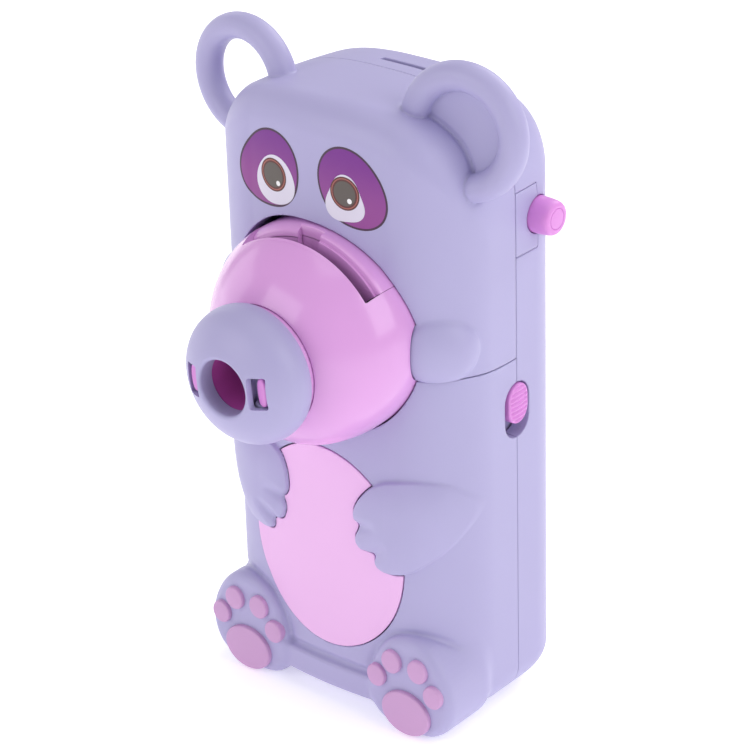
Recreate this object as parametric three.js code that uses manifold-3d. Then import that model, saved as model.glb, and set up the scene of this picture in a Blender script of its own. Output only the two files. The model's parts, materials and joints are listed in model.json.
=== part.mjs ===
// Toy slide projector in the shape of a bear: two moulded front shells, a back
// shell, a domed slide housing with a slot for picture discs, a focusing snout,
// a push button, a slide switch and a battery compartment.
// Millimetres, +Z up, the face looks along -Y, the origin is on the table under
// the middle of the bounding box.
import * as THREE from 'three';
import { mergeVertices } from 'three/addons/utils/BufferGeometryUtils.js';
import Module from 'manifold-3d';

const wasm = await Module();
wasm.setup();

// ---------------------------------------------------------------- dimensions
const GAP = 0.3;            // clearance between touching pieces
const WALL = 2.0;           // moulded wall
const HALF_W = 42.0;        // half the body width
const FRONT_Y = -6.3;       // front face where the corner rounding ends
const FACE_BULGE = 1.6;     // how far the middle of the front stands ahead of it
const BACK_Y = 45.4;
const SEAM_Y = 23.7;        // joint between the front shells and the back shell
const TOP_Z = 178.2;
const BOT_Z = 1.0;
const NECK_Z = 108.0;       // joint between head and body front shells
const R_FRONT = 20.0;       // vertical front corner radius
const R_BACK = 13.0;        // vertical back corner radius
const R_BASE = 10.0;        // bottom edge rounding
const CROWN_H = 29.0;       // height over which the shoulders round in
const CROWN_N = 2.75;       // roundness of the shoulders
const CROWN_FRONT = 9.0;
const CROWN_BACK = 12.0;
const AXIS_Z = 112.0;       // snout axis height
const GLOBE_R = 31.6;       // half width of the slide housing
const GLOBE_H = 29.6;       // half height
const GLOBE_Z = 115.0;      // its centre stands above the snout axis
const GLOBE_B = 27.0;       // depth of its front half
const SLOT_FRONT_Y = -15.5;
const SLOT_BACK_Y = -11.0;
const SLOT_LEFT = -38 * Math.PI / 180;   // slot ends, from straight up
const SLOT_RIGHT = 53 * Math.PI / 180;
const WINDOW = { x0: 8.7, x1: 13.4, h: 4.4, turn: 5.4 * Math.PI / 180 };
const HOOK = { x0: 10.0, x1: 13.0, h: 4.0 };
const EARS = {
  right: { x: 36.6, y: 9.6, z: 172.9, a: 14.7, b: 14.7, r: 3.95, toe: 5.6, lean: 2.0 },
  left: { x: 36.7, y: 9.6, z: 172.0, a: 14.7, b: 13.9, r: 3.85, toe: 5.6, lean: 2.0 },
};
const BELLY = { z: 48.6, a: 26.1, b: 30.2 };
const BUTTON = { y: 33.8, z: 143.5, r: 5.0, out: 47.9, travel: 2.5 };
const PLATE = { y0: 23.7, y1: 33.3, z0: 134.5, z1: 152.5 };
const SWITCH = { y: 23.8, z: 90.5, w: 10.6, h: 16.4, travel: 4.0 };
const DOOR = { w: 52.0, z0: 12.5, z1: 74.5, t: 1.8 };
const DISC_SLOT = { x0: -6.8, x1: 12.5, y0: 28.9, y1: 31.0 };
const SCREWS = [[24, 150], [-24, 150], [30, 76], [-30, 76], [34, 19], [-34, 19]];
const CELL = { r: 7.1, len: 50.0, x: [-15.3, 0, 15.3], y: 34.6, z: 41.5 };

// ------------------------------------------------------------------- helpers
const V2 = (x, y) => new THREE.Vector2(x, y);
function solid(geo, matrix) {
  let g = geo.clone();
  g.deleteAttribute('normal');
  if (g.attributes.uv) g.deleteAttribute('uv');
  if (matrix) g.applyMatrix4(matrix);
  g = mergeVertices(g, 1e-4);
  const p = g.attributes.position.array;
  const idx = g.index.array;
  const tri = [];
  let vol = 0;
  for (let i = 0; i < idx.length; i += 3) {
    const [a, b, c] = [idx[i], idx[i + 1], idx[i + 2]];
    if (a === b || b === c || a === c) continue;
    tri.push(a, b, c);
    const A = a * 3, B = b * 3, C = c * 3;
    vol += p[A] * (p[B + 1] * p[C + 2] - p[B + 2] * p[C + 1])
      - p[A + 1] * (p[B] * p[C + 2] - p[B + 2] * p[C])
      + p[A + 2] * (p[B] * p[C + 1] - p[B + 1] * p[C]);
  }
  if (vol < 0) for (let i = 0; i < tri.length; i += 3) [tri[i + 1], tri[i + 2]] = [tri[i + 2], tri[i + 1]];
  return new wasm.Manifold(new wasm.Mesh({
    numProp: 3, vertProperties: new Float32Array(p), triVerts: new Uint32Array(tri),
  }));
}
function geometry(m) {
  const k = m.getMesh();
  const g = new THREE.BufferGeometry();
  g.setAttribute('position', new THREE.BufferAttribute(new Float32Array(k.vertProperties), 3));
  g.setIndex(new THREE.BufferAttribute(new Uint32Array(k.triVerts), 1));
  g.computeVertexNormals();
  return g;
}
const move = (x, y, z) => new THREE.Matrix4().makeTranslation(x, y, z);
const box = (x0, x1, y0, y1, z0, z1) =>
  solid(new THREE.BoxGeometry(x1 - x0, y1 - y0, z1 - z0), move((x0 + x1) / 2, (y0 + y1) / 2, (z0 + z1) / 2));
// cylinder (or cone) along an axis from a to b
function rod(axis, a, b, c1, c2, r, seg = 24, r2 = r) {
  const g = new THREE.CylinderGeometry(r2, r, b - a, seg);
  if (axis === 'x') { g.rotateZ(-Math.PI / 2); g.translate((a + b) / 2, c1, c2); }
  if (axis === 'y') g.translate(c1, (a + b) / 2, c2);
  if (axis === 'z') { g.rotateX(Math.PI / 2); g.translate(c1, c2, (a + b) / 2); }
  return solid(g);
}
// body of revolution about the snout axis; points are [radius, y]
function turned(points, seg = 40, z = AXIS_Z, x = 0) {
  return solid(new THREE.LatheGeometry(points.map(([r, y]) => V2(r, y)), seg), move(x, 0, z));
}
// outline in the XZ plane pushed along Y from y0 to y1
function slab(pts, y0, y1) {
  const s = new THREE.Shape(pts.map(([x, z]) => V2(x, z)));
  const g = new THREE.ExtrudeGeometry(s, { depth: y1 - y0, bevelEnabled: false });
  g.rotateX(Math.PI / 2);
  g.translate(0, y1, 0);
  return solid(g);
}
// outline in the YZ plane pushed along X from x0 to x1
function slabX(pts, x0, x1) {
  const s = new THREE.Shape(pts.map(([y, z]) => V2(y, z)));
  const g = new THREE.ExtrudeGeometry(s, { depth: x1 - x0, bevelEnabled: false });
  g.applyMatrix4(new THREE.Matrix4().makeBasis(
    new THREE.Vector3(0, 1, 0), new THREE.Vector3(0, 0, 1), new THREE.Vector3(1, 0, 0)));
  g.translate(x0, 0, 0);
  return solid(g);
}
function ellipse(cx, cz, a, b, n = 40) {
  return Array.from({ length: n }, (_, i) => {
    const t = i * 2 * Math.PI / n;
    return [cx + a * Math.cos(t), cz + b * Math.sin(t)];
  });
}
function oval(cx, cz, w, h, n = 8) {
  const r = w / 2, k = h / 2 - r, pts = [];
  for (let i = 0; i <= n; i++) { const t = i * Math.PI / n; pts.push([cx + r * Math.cos(t), cz + k + r * Math.sin(t)]); }
  for (let i = 0; i <= n; i++) { const t = Math.PI + i * Math.PI / n; pts.push([cx + r * Math.cos(t), cz - k + r * Math.sin(t)]); }
  return pts;
}
const mirror = pts => pts.map(([x, z]) => [-x, z]).reverse();
function sphere(x, y, z, rx, ry, rz, w = 20, h = 12) {
  return solid(new THREE.SphereGeometry(1, w, h), new THREE.Matrix4()
    .makeTranslation(x, y, z).multiply(new THREE.Matrix4().makeScale(rx, ry, rz)));
}
function join(list) { return list.reduce((a, b) => a.add(b)); }
// coil spring along an axis
class Helix extends THREE.Curve {
  constructor(axis, a, b, c1, c2, r, turns) { super(); Object.assign(this, { axis, a, b, c1, c2, r, turns }); }
  getPoint(t) {
    const w = t * this.turns * 2 * Math.PI, s = this.a + (this.b - this.a) * t;
    const u = this.c1 + this.r * Math.cos(w), v = this.c2 + this.r * Math.sin(w);
    if (this.axis === 'x') return new THREE.Vector3(s, u, v);
    return new THREE.Vector3(u, v, s);
  }
}
function spring(axis, a, b, c1, c2, r, turns, wire) {
  const sec = new THREE.Shape(Array.from({ length: 5 }, (_, i) =>
    V2(wire * Math.cos(i * 2 * Math.PI / 5), wire * Math.sin(i * 2 * Math.PI / 5))));
  return solid(new THREE.ExtrudeGeometry(sec, {
    steps: Math.round(turns * 10), bevelEnabled: false, extrudePath: new Helix(axis, a, b, c1, c2, r, turns),
  }));
}

// ------------------------------------------------------- the body's envelope
// plan section at one height: rounded rectangle with a slightly bowed front
function section(w, f, b, rf, rb) {
  rf = Math.min(rf, w * 0.98, (b - f) * 0.6); rb = Math.min(rb, w * 0.98, (b - f) * 0.4);
  const pts = [];
  const nf = 6, nb = 4;
  const half = w - rf;
  const bow = x => FACE_BULGE * Math.min(1, half / 22) * (1 - (x / Math.max(half, 1e-6)) ** 2);
  for (let i = 1; i < 6; i++) { const x = -half + 2 * half * i / 6; pts.push([x, f - bow(x)]); }
  for (let i = 0; i <= nf; i++) { const t = i * Math.PI / 2 / nf; pts.push([half + rf * Math.sin(t), f + rf - rf * Math.cos(t)]); }
  for (let i = 0; i <= nb; i++) { const t = i * Math.PI / 2 / nb; pts.push([w - rb + rb * Math.cos(t), b - rb + rb * Math.sin(t)]); }
  for (let i = 0; i <= nb; i++) { const t = i * Math.PI / 2 / nb; pts.push([-(w - rb) - rb * Math.sin(t), b - rb + rb * Math.cos(t)]); }
  for (let i = 0; i <= nf; i++) { const t = i * Math.PI / 2 / nf; pts.push([-half - rf * Math.cos(t), f + rf - rf * Math.sin(t)]); }
  return pts;
}
function envelope(off) {
  const levels = [];
  const rB = R_BASE;
  for (let i = 0; i <= 5; i++) {
    const t = i * Math.PI / 2 / 5, s = rB * (1 - Math.sin(t));
    levels.push([BOT_Z + rB - rB * Math.cos(t), s, s, s]);
  }
  levels.push([NECK_Z, 0, 0, 0]);
  const z0 = TOP_Z - CROWN_H;
  const nC = 8;
  for (let i = 0; i <= nC; i++) {
    const t = i / nC * Math.PI / 2;
    const w = Math.pow(Math.max(Math.cos(t), 0), 2 / CROWN_N), u = Math.pow(Math.sin(t), 2 / CROWN_N);
    const z = z0 + CROWN_H * u;
    const edge = r => { const k = (z - (TOP_Z - r)) / r; return k > 0 ? r * (1 - Math.sqrt(Math.max(0, 1 - k * k))) : 0; };
    levels.push([z, HALF_W * (1 - Math.max(w, 0.12)), edge(CROWN_FRONT), edge(CROWN_BACK)]);
  }
  const rings = levels.map(([z, dw, df, db], i) => {
    let zz = z;
    if (i === 0) zz = z - off; else if (i === levels.length - 1) zz = z + off;
    else if (z < BOT_Z + rB) zz = z - off * (1 - (z - BOT_Z) / rB);
    else if (z > z0) zz = z + off * (z - z0) / CROWN_H;
    return section(HALF_W - dw + off, FRONT_Y + df - off, BACK_Y - db + off, R_FRONT + off, R_BACK + off)
      .map(([x, y]) => [x, y, zz]);
  });
  const n = rings[0].length, pos = [], tri = [];
  rings.forEach(r => r.forEach(p => pos.push(...p)));
  for (let k = 0; k + 1 < rings.length; k++) for (let i = 0; i < n; i++) {
    const a = k * n + i, b = k * n + (i + 1) % n, c = a + n, d = b + n;
    tri.push(a, b, d, a, d, c);
  }
  for (const k of [0, rings.length - 1]) {
    const cx = 0, cy = (rings[k][0][1] + BACK_Y - R_BACK) / 2, at = pos.length / 3;
    pos.push(cx, cy, rings[k][0][2]);
    for (let i = 0; i < n; i++) tri.push(...(k === 0 ? [at, k * n + (i + 1) % n, k * n + i] : [at, k * n + i, k * n + (i + 1) % n]));
  }
  const g = new THREE.BufferGeometry();
  g.setAttribute('position', new THREE.Float32BufferAttribute(pos, 3));
  g.setIndex(tri);
  return solid(g);
}
const outer = envelope(0);
const inner = envelope(-WALL);
const skin = outer.subtract(inner);
const B = 200;

// ------------------------------------------------------------- ears and cheeks
const ear = side => (side > 0 ? EARS.right : EARS.left);
function earFrame(side) {
  const E = ear(side), T = E.toe * Math.PI / 180, L = E.lean * Math.PI / 180;
  const e1 = new THREE.Vector3(Math.cos(T), Math.sin(T), 0);
  const e2 = new THREE.Vector3(-Math.sin(T) * Math.sin(L), Math.cos(T) * Math.sin(L), Math.cos(L));
  const e3 = new THREE.Vector3().crossVectors(e1, e2);
  const m = new THREE.Matrix4().makeBasis(e1, e2, e3).setPosition(E.x, E.y, E.z);
  return new THREE.Matrix4().makeScale(side, 1, 1).multiply(m);
}
function earRing(side, grow) {
  const E = ear(side), t = new THREE.TorusGeometry(E.a, E.r + grow, 8, 28);
  t.scale(1, E.b / E.a, 1);
  return solid(t, earFrame(side));
}
function earWeb(side, grow) {
  const R = ear(side).b - 1.0 + grow, g = new THREE.CylinderGeometry(R, R, 2.2 + 2 * grow, 28);
  g.rotateX(Math.PI / 2);
  g.translate(0, 0, -1.4);
  return solid(g, earFrame(side));
}
const leftEar = earRing(-1, 0);
const rightEar = earRing(1, 0).add(earWeb(1, 0));
const earHoles = earRing(-1, GAP).add(earRing(1, GAP)).add(earWeb(1, GAP));
const cheeks = grow => [1, -1].map(s => solid(new THREE.SphereGeometry(1, 20, 12), move(s * 34.9, 1.4, 114.8)
  .multiply(new THREE.Matrix4().makeRotationZ(s * 0.864)).multiply(new THREE.Matrix4().makeScale(10.2 + grow, 5.7 + grow, 9.6 + grow))));

// ---------------------------------------------------------- arms, feet, plinth
const ARM = [[13.0, 68.7], [10.6, 64.2], [10.7, 61.2], [12.4, 60.0], [12.1, 58.1], [10.9, 55.8], [11.3, 54.0],
  [12.8, 52.3], [15.3, 52.4], [17.5, 51.8], [17.1, 49.5], [18.5, 47.7], [21.8, 46.9], [26.1, 47.9], [28.3, 48.7],
  [32.1, 51.5], [36.3, 55.4], [39.0, 59.5], [41.0, 63.9], [41.9, 67.9], [41.5, 70.5], [40.0, 73.3], [37.3, 76.2],
  [31.5, 77.4], [22.8, 75.8], [17.6, 73.4]];
const ARM_LEFT = [[14.6, 73.3], [12.6, 68.1], [12.4, 62.9], [13.8, 60.4], [15.0, 60.1], [13.8, 57.2], [14.1, 55.1],
  [15.0, 52.9], [16.2, 52.1], [18.7, 52.0], [18.7, 48.7], [20.3, 47.6], [22.3, 47.5], [26.8, 48.6], [29.5, 49.6],
  [33.0, 52.5], [36.8, 56.0], [39.3, 60.0], [41.0, 63.9], [41.9, 67.9], [41.5, 70.5], [40.0, 73.3], [37.3, 76.2],
  [31.5, 77.4], [22.8, 76.4], [17.6, 75.0]];
const armBand = envelope(1.6);
const arms = grow => {
  const env = grow ? envelope(1.6 + 3) : armBand;
  const cut = pts => slab(pts, -14, 14).intersect(env);
  const g = pts => {
    if (!grow) return pts;
    const cx = 27, cz = 62;
    return pts.map(([x, z]) => { const d = Math.hypot(x - cx, z - cz); return [x + (x - cx) / d * grow, z + (z - cz) / d * grow]; });
  };
  return [cut(g(ARM)), cut(mirror(g(ARM_LEFT)))];
};
const FOOT = [[14.2, 6.5], [13.6, 12], [15.0, 18.5], [18.5, 25.0], [23.5, 29.2], [29.0, 30.4], [34.5, 29.2],
  [39.5, 24.8], [43.0, 18.0], [43.8, 11.5], [42.0, 5.5], [38.5, 2.0], [34.0, 0.0], [22.5, 0.0], [17.5, 2.2]];
const SOLE_Y = -9.3;
function foot(side) {
  const p = side > 0 ? FOOT : mirror(FOOT);
  const shrink = (k, cx, cz) => p.map(([x, z]) => [cx * side + (x - cx * side) * k, z < 0.01 ? 0 : cz + (z - cz) * k]);
  return slab(shrink(0.95, 28.7, 13), SOLE_Y, SOLE_Y + 1.2).add(slab(p, SOLE_Y + 1.1, 8));
}
const TOES = [[38.3, 15.7, 3.1, 3.4], [33.1, 21.9, 3.2, 3.5], [24.1, 22.0, 3.2, 3.5], [18.7, 15.9, 3.1, 3.4], [28.8, 7.2, 8.2, 6.6]];
const pads = side => TOES.map(([x, z, a, b], i) => slab(
  ellipse(side * x, z, a, b, i === 4 ? 24 : 14), SOLE_Y - 1.4, SOLE_Y + 0.4));
const plinth = envelope(1.3).intersect(box(-17, 17, -12, 0, 4.5, 14.0));

// ------------------------------------------------------------ screws, bosses
const bossFront = SCREWS.map(([x, z]) => rod('y', -6, SEAM_Y - 0.2, x, z, 3.4, 16).intersect(outer));
const bossBack = SCREWS.map(([x, z]) => rod('y', SEAM_Y + 0.1, 44.2, x, z, 3.9, 16));
const pilot = SCREWS.map(([x, z]) => rod('y', 8, SEAM_Y + 1, x, z, 1.75, 12));
const shank = SCREWS.map(([x, z]) => rod('y', SEAM_Y - 1, 50, x, z, 1.75, 12));
const sink = SCREWS.map(([x, z]) => rod('y', 35.5, 50, x, z, 3.1, 16));

// --------------------------------------------------------------------- shells
const globeHole = slab(ellipse(0, GLOBE_Z, GLOBE_R + 0.4, GLOBE_H + 0.4, 48), -20, 16);
const switchHole = slabX(oval(SWITCH.y, SWITCH.z, SWITCH.w, SWITCH.h), 30, 50);
const switchWall = slabX(oval(SWITCH.y, SWITCH.z, SWITCH.w + 3.4, SWITCH.h + 3.4), 37.2, 41.5);
const bellyHole = slab(ellipse(0, BELLY.z, BELLY.a + 0.3, BELLY.b + 0.3), -20, 2);
const headZone = box(-B, B, -B, SEAM_Y - 0.15, NECK_Z + 0.15, 300);
const bodyZone = box(-B, B, -B, SEAM_Y - 0.15, -1, NECK_Z - 0.15);
const backZone = box(-B, B, SEAM_Y + 0.15, B, -1, 300);

const headShell = join([skin, ...cheeks(0).map(m => m.subtract(inner)), ...bossFront.slice(0, 2)])
  .subtract(globeHole.subtract(join(cheeks(0))))
  .subtract(join(pilot)).subtract(earHoles).intersect(headZone);

const armSolids = arms(0);
const bodyShell = join([skin.subtract(bellyHole), ...armSolids.map(m => m.subtract(inner)),
  foot(1).subtract(inner), foot(-1).subtract(inner), plinth.subtract(inner), ...bossFront.slice(2),
  ...pads(1), ...pads(-1), switchWall.intersect(outer)])
  .subtract(globeHole).subtract(join(pilot)).subtract(switchHole)
  .intersect(bodyZone);

const doorHole = box(-DOOR.w / 2 - 0.4, DOOR.w / 2 + 0.4, 43.4, 50, DOOR.z0 - 0.7, DOOR.z1 + 0.4);
const plateHole = box(36, 50, PLATE.y0 - 1, PLATE.y1, PLATE.z0, PLATE.z1);
const buttonHole = rod('x', 36, 50, BUTTON.y, BUTTON.z, BUTTON.r + 0.35, 28);
const backShell = join([skin, ...bossBack, switchWall.intersect(outer)])
  .subtract(doorHole).subtract(plateHole).subtract(buttonHole)
  .subtract(join(shank)).subtract(join(sink)).subtract(switchHole)
  .subtract(box(DISC_SLOT.x0, DISC_SLOT.x1, DISC_SLOT.y0, DISC_SLOT.y1, 170, 190))
  .intersect(backZone);

const buttonPlate = skin.intersect(box(36, 50, PLATE.y0 + 0.15, PLATE.y1 - 0.15, PLATE.z0 + 0.15, PLATE.z1 - 0.15))
  .subtract(buttonHole);

const bellyPlate = slab(ellipse(0, BELLY.z, BELLY.a, BELLY.b), -14, 4)
  .intersect(envelope(0.5)).subtract(envelope(-1.6)).subtract(join(arms(0.3)));

// ---------------------------------------------------------------- slide housing
// the dome is a little flat in height and its base sits higher than the snout
function droop(m) {
  return m.warp(v => {
    const k = Math.min(1, Math.max(0, (FRONT_Y - v[1]) / (GLOBE_B * 0.84)));
    const s = GLOBE_H / GLOBE_R + (1 - GLOBE_H / GLOBE_R) * k;
    v[2] = (v[2] - AXIS_Z) * s + AXIS_Z + (GLOBE_Z - AXIS_Z) * (1 - k * k * (3 - 2 * k));
  });
}
const globeOut = [], globeIn = [];
for (let i = 0; i <= 9; i++) {
  const a = i / 9 * 0.995;
  globeOut.push([GLOBE_R * Math.cos(a), FRONT_Y - GLOBE_B * Math.sin(a)]);
  globeIn.push([(GLOBE_R - 1.9) * Math.cos(a * 0.99), FRONT_Y - (GLOBE_B - 1.9) * Math.sin(a * 0.99)]);
}
const globeProfile = [[GLOBE_R, -1.5], ...globeOut, [17.25, globeOut[9][1]], ...globeIn.slice(0, 9).reverse(), [GLOBE_R - 1.9, -1.5], [GLOBE_R, -1.5]];
function sector(a0, a1, y0, y1, r = 60) {
  const pts = [[0, AXIS_Z]];
  for (let i = 0; i <= 8; i++) { const a = a0 + (a1 - a0) * i / 8; pts.push([r * Math.sin(a), AXIS_Z + r * Math.cos(a)]); }
  return slab(pts.reverse(), y0, y1);
}
const cheekCut = join(cheeks(0.4));
const snoutGlobe = droop(turned(globeProfile, 42).subtract(sector(SLOT_LEFT, SLOT_RIGHT, SLOT_FRONT_Y, 5))).subtract(cheekCut);
const gateAperture = box(-11, 11, -30, 5, AXIS_Z - 8, AXIS_Z + 8);
// the rim behind the slot is full height on one side and stepped down on the other
const rimRight = turned([[28.0, -1.5], [28.0, SLOT_BACK_Y], [GLOBE_R - 0.6, SLOT_BACK_Y], [GLOBE_R, FRONT_Y], [GLOBE_R, -1.5], [28.0, -1.5]], 52)
  .intersect(sector(SLOT_LEFT + 0.01, SLOT_RIGHT - 0.01, -20, 5)).intersect(box(-2.8, 60, -30, 10, 0, 200));
const rimLeft = turned([[28.0, -1.5], [28.0, SLOT_BACK_Y], [GLOBE_R - 2.1, SLOT_BACK_Y], [GLOBE_R - 0.9, -8.6], [GLOBE_R, FRONT_Y], [GLOBE_R, -1.5], [28.0, -1.5]], 52)
  .intersect(sector(SLOT_LEFT + 0.01, SLOT_RIGHT - 0.01, -20, 5)).intersect(box(-60, -2.7, -30, 10, 0, 200));
const rimArc = rimRight.add(rimLeft);
const slideGate = droop(turned([[0, -9.2], [0, SLOT_BACK_Y], [28.4, SLOT_BACK_Y], [28.4, -9.2], [0, -9.2]], 52)
  .add(rimArc)).subtract(gateAperture).subtract(box(-4.2, 4.2, -12, -10.2, AXIS_Z + 22, AXIS_Z + 40)).subtract(cheekCut);

const focusGuide = turned([[12.5, -15.8], [12.5, -17.4], [15.4, -17.4], [15.4, -34.0], [16.9, -34.0], [16.9, -17.4], [24.2, -17.4], [24.2, -15.8], [12.5, -15.8]], 40);
const MUZ = [[18.4, -31.4], [18.9, -33.5], [18.8, -36.0], [17.9, -38.8], [16.0, -41.2], [13.4, -43.2], [10.9, -44.4], [8.9, -45.4], [7.8, -45.2], [7.7, -44.3],
  [7.7, -40.6], [9.2, -40.6], [9.2, -42.4], [12.0, -42.2], [15.2, -39.8], [17.2, -36.2], [17.25, -31.4], [18.4, -31.4]];
// the pair of windows and the hooks in them stand a little turned about the axis
const twist = new THREE.Matrix4().makeTranslation(0, 0, AXIS_Z).multiply(new THREE.Matrix4().makeRotationY(-WINDOW.turn)).multiply(move(0, 0, -AXIS_Z));
const twisted = (x0, x1, y0, y1, h) => [1, -1].map(s => solid(new THREE.BoxGeometry(x1 - x0, y1 - y0, 2 * h),
  twist.clone().multiply(move(s * (x0 + x1) / 2, (y0 + y1) / 2, AXIS_Z))));
const windows = twisted(WINDOW.x0, WINDOW.x1, -48, -37.5, WINDOW.h);
const muzzleCap = turned(MUZ, 36).subtract(join(windows));
const hooks = twisted(HOOK.x0, HOOK.x1, -42.6, -34.5, HOOK.h).map(m => m
  .intersect(turned([[0, -30], [0, -42.8], [12.3, -42.4], [14.1, -40.6], [14.6, -38.4], [14.6, -30], [0, -30]], 40)));
// sleeve, front cone and inner barrel in one
const focusTube = turned([[13.3, -18.5], [13.3, -33.6], [9.4, -37.0], [8.9, -27.0], [7.6, -27.0], [7.9, -40.2], [8.9, -40.2], [14.9, -35.2], [14.9, -18.5], [13.3, -18.5]], 40)
  .add(join(hooks).subtract(turned([[0, -18], [0, -33.4], [13.3, -33.4], [13.3, -18], [0, -18]], 40))
    .subtract(turned([[0, -18], [0, -48], [8.6, -48], [8.6, -18], [0, -18]], 40)));
const lens = turned([[0, -26.6], [3, -26.8], [5.4, -27.3], [7.25, -28.1], [7.25, -29.1], [5.4, -30.0], [3, -30.6], [0, -30.8]], 32);
const lensRing = turned([[5.9, -25.4], [5.9, -26.5], [8.6, -26.5], [8.6, -25.4], [5.9, -25.4]], 32);

// ------------------------------------------------------------------ light box
const lightTube = turned([[13.6, -8.8], [13.6, 17.0], [15.0, 17.0], [15.0, -8.8], [13.6, -8.8]], 32);
const condenser = turned([[0, -7.8], [6, -7.0], [13.2, -4.6], [13.2, -3.2], [0, -3.2]], 32);
const reflector = turned([[3.4, 15.4], [8.5, 11.0], [12.6, 5.0], [13.3, 5.0], [13.3, 16.4], [3.4, 16.4], [3.4, 15.4]], 32);
const ledChip = box(-2.2, 2.2, 13.6, 17.1, AXIS_Z - 2.2, AXIS_Z + 2.2);
const ledBoard = turned([[0, 17.4], [13.5, 17.4], [13.5, 19.0], [0, 19.0]], 32);

// ------------------------------------------------------- button, switch, board
const bz = BUTTON.z, by = BUTTON.y;
const buttonProfile = [[0, 35.7], [5.75, 35.7], [5.75, 36.9], [5.0, 36.9], [5.0, 43.2], [4.75, 46.6], [4.3, 47.6], [3.5, 47.9],
  [2.95, 47.9], [2.85, 47.6], [2.7, 47.9], [0, 47.9]];
const pushButton = solid(new THREE.LatheGeometry(buttonProfile.map(([r, y]) => V2(r, y)), 28),
  new THREE.Matrix4().makeTranslation(0, by, bz).multiply(new THREE.Matrix4().makeRotationZ(-Math.PI / 2)));
const buttonSwitch = box(31.4, 33.1, by - 2.6, by + 2.6, bz - 2.6, bz + 2.6).add(rod('x', 33.0, 33.4, by, bz, 1.6, 12));
const buttonSpring = spring('x', 31.9, 35.2, by, bz, 4.7, 3.5, 0.4);
const mainBoard = box(29.5, 31.1, 11, 40, 82, 156);
const sy = SWITCH.y, sz = SWITCH.z;
const knobTop = slabX(oval(sy, sz + 2.0, 8.4, 11.6), 38.6, 43.0);
const grooves = join(Array.from({ length: 7 }, (_, i) => box(42.5, 45, sy - 6, sy + 6, sz + 2.0 - 4.5 + i * 1.5 - 0.35, sz + 2.0 - 4.5 + i * 1.5 + 0.35)));
const switchKnob = knobTop.add(box(36.2, 38.7, sy - 2.4, sy + 2.4, sz - 0.5, sz + 4.5)).subtract(grooves);
const switchBody = box(31.4, 35.9, sy - 3.6, sy + 3.6, sz - 7.0, sz + 9.0);
const switchBed = slabX(oval(sy, sz, 15.4, 21.2), 36.2, 36.9).subtract(box(36, 37.2, sy - 2.7, sy + 2.7, sz - 4.9, sz + 4.9));

// ---------------------------------------------------------- battery compartment
const tray = box(-25.4, 25.4, 25.6, 43.1, 13.6, 73.4).subtract(box(-23.9, 23.9, 27.1, 50, 15.1, 68.6))
  .subtract(rod('y', 35, 50, 0, 71.0, 1.95, 14));
const doorPlate = box(-DOOR.w / 2, DOOR.w / 2, BACK_Y - DOOR.t, BACK_Y, DOOR.z0 + 0.9, DOOR.z1)
  .add(rod('x', -DOOR.w / 2, DOOR.w / 2, BACK_Y - 0.9, DOOR.z0 + 0.9, 0.9, 12))
  .subtract(rod('y', 40, 50, 0, 71.0, 1.6, 14)).subtract(rod('y', BACK_Y - 1.0, 50, 0, 71.0, 3.0, 18))
  .subtract(join(Array.from({ length: 5 }, (_, i) => box(-9, 9, BACK_Y - 0.5, 50, 55.5 + i * 2.4, 56.5 + i * 2.4))));
const screwShape = (x, z, y0, y1, y2, rs, rh) => rod('y', y0, y1 + 0.01, x, z, rs, 12).add(rod('y', y1, y2, x, z, rh, 16))
  .subtract(box(x - 0.35, x + 0.35, y2 - 0.7, y2 + 1, z - rh * 0.6, z + rh * 0.6))
  .subtract(box(x - rh * 0.6, x + rh * 0.6, y2 - 0.7, y2 + 1, z - 0.35, z + 0.35));
const doorScrew = screwShape(0, 71.0, 40.2, BACK_Y - 0.95, BACK_Y, 1.2, 2.6);
const cells = CELL.x.map((x, i) => {
  const up = i % 2 === 0 ? 1 : -1;
  const z0 = CELL.z - CELL.len / 2;
  return rod('z', z0 + (up > 0 ? 0 : 1.2), z0 + CELL.len - (up > 0 ? 1.2 : 0), x, CELL.y, CELL.r, 24)
    .add(up > 0 ? rod('z', z0 + CELL.len - 1.3, z0 + CELL.len, x, CELL.y, 2.7, 14) : rod('z', z0, z0 + 1.3, x, CELL.y, 2.7, 14));
});
// ---------------------------------------------------------------- the assembly
const PAL = {
  lilac: ['#b3abda', 0.42, 0], pink: ['#e3a4e6', 0.28, 0], pinkSoft: ['#eebdee', 0.4, 0], button: ['#df96df', 0.35, 0],
  steel: ['#b9bcc2', 0.35, 1], clear: ['#e9f1f6', 0.05, 0], black: ['#1e1e22', 0.6, 0], pcb: ['#1f6b3f', 0.55, 0],
  white: ['#f2f2ee', 0.5, 0], rubber: ['#8e86b8', 0.9, 0], cell: ['#3c3f46', 0.4, 0.3], brass: ['#c9a85a', 0.35, 1],
};
const root = new THREE.Group();
function add(name, m, pal) {
  const [color, roughness, metalness] = PAL[pal];
  const mesh = new THREE.Mesh(geometry(m), new THREE.MeshStandardMaterial({ color, roughness, metalness }));
  mesh.name = name;
  root.add(mesh);
}
add('head_front_shell', headShell, 'lilac');
add('body_front_shell', bodyShell, 'lilac');
add('back_shell', backShell, 'lilac');
add('left_ear', leftEar, 'lilac');
add('right_ear', rightEar, 'lilac');
add('belly_plate', bellyPlate, 'pinkSoft');
add('snout_globe', snoutGlobe, 'pink');
add('slide_gate', slideGate, 'pink');
add('focus_guide', focusGuide, 'pink');
add('muzzle_cap', muzzleCap, 'lilac');
add('focus_tube', focusTube, 'pink');
add('projection_lens', lens, 'clear');
add('lens_ring', lensRing, 'black');
add('light_tube', lightTube, 'black');
add('condenser_lens', condenser, 'clear');
add('reflector', reflector, 'steel');
add('led', ledChip, 'white');
add('led_board', ledBoard, 'white');
add('button_plate', buttonPlate, 'lilac');
add('push_button', pushButton, 'button');
add('button_spring', buttonSpring, 'steel');
add('button_contact', buttonSwitch, 'black');
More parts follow.
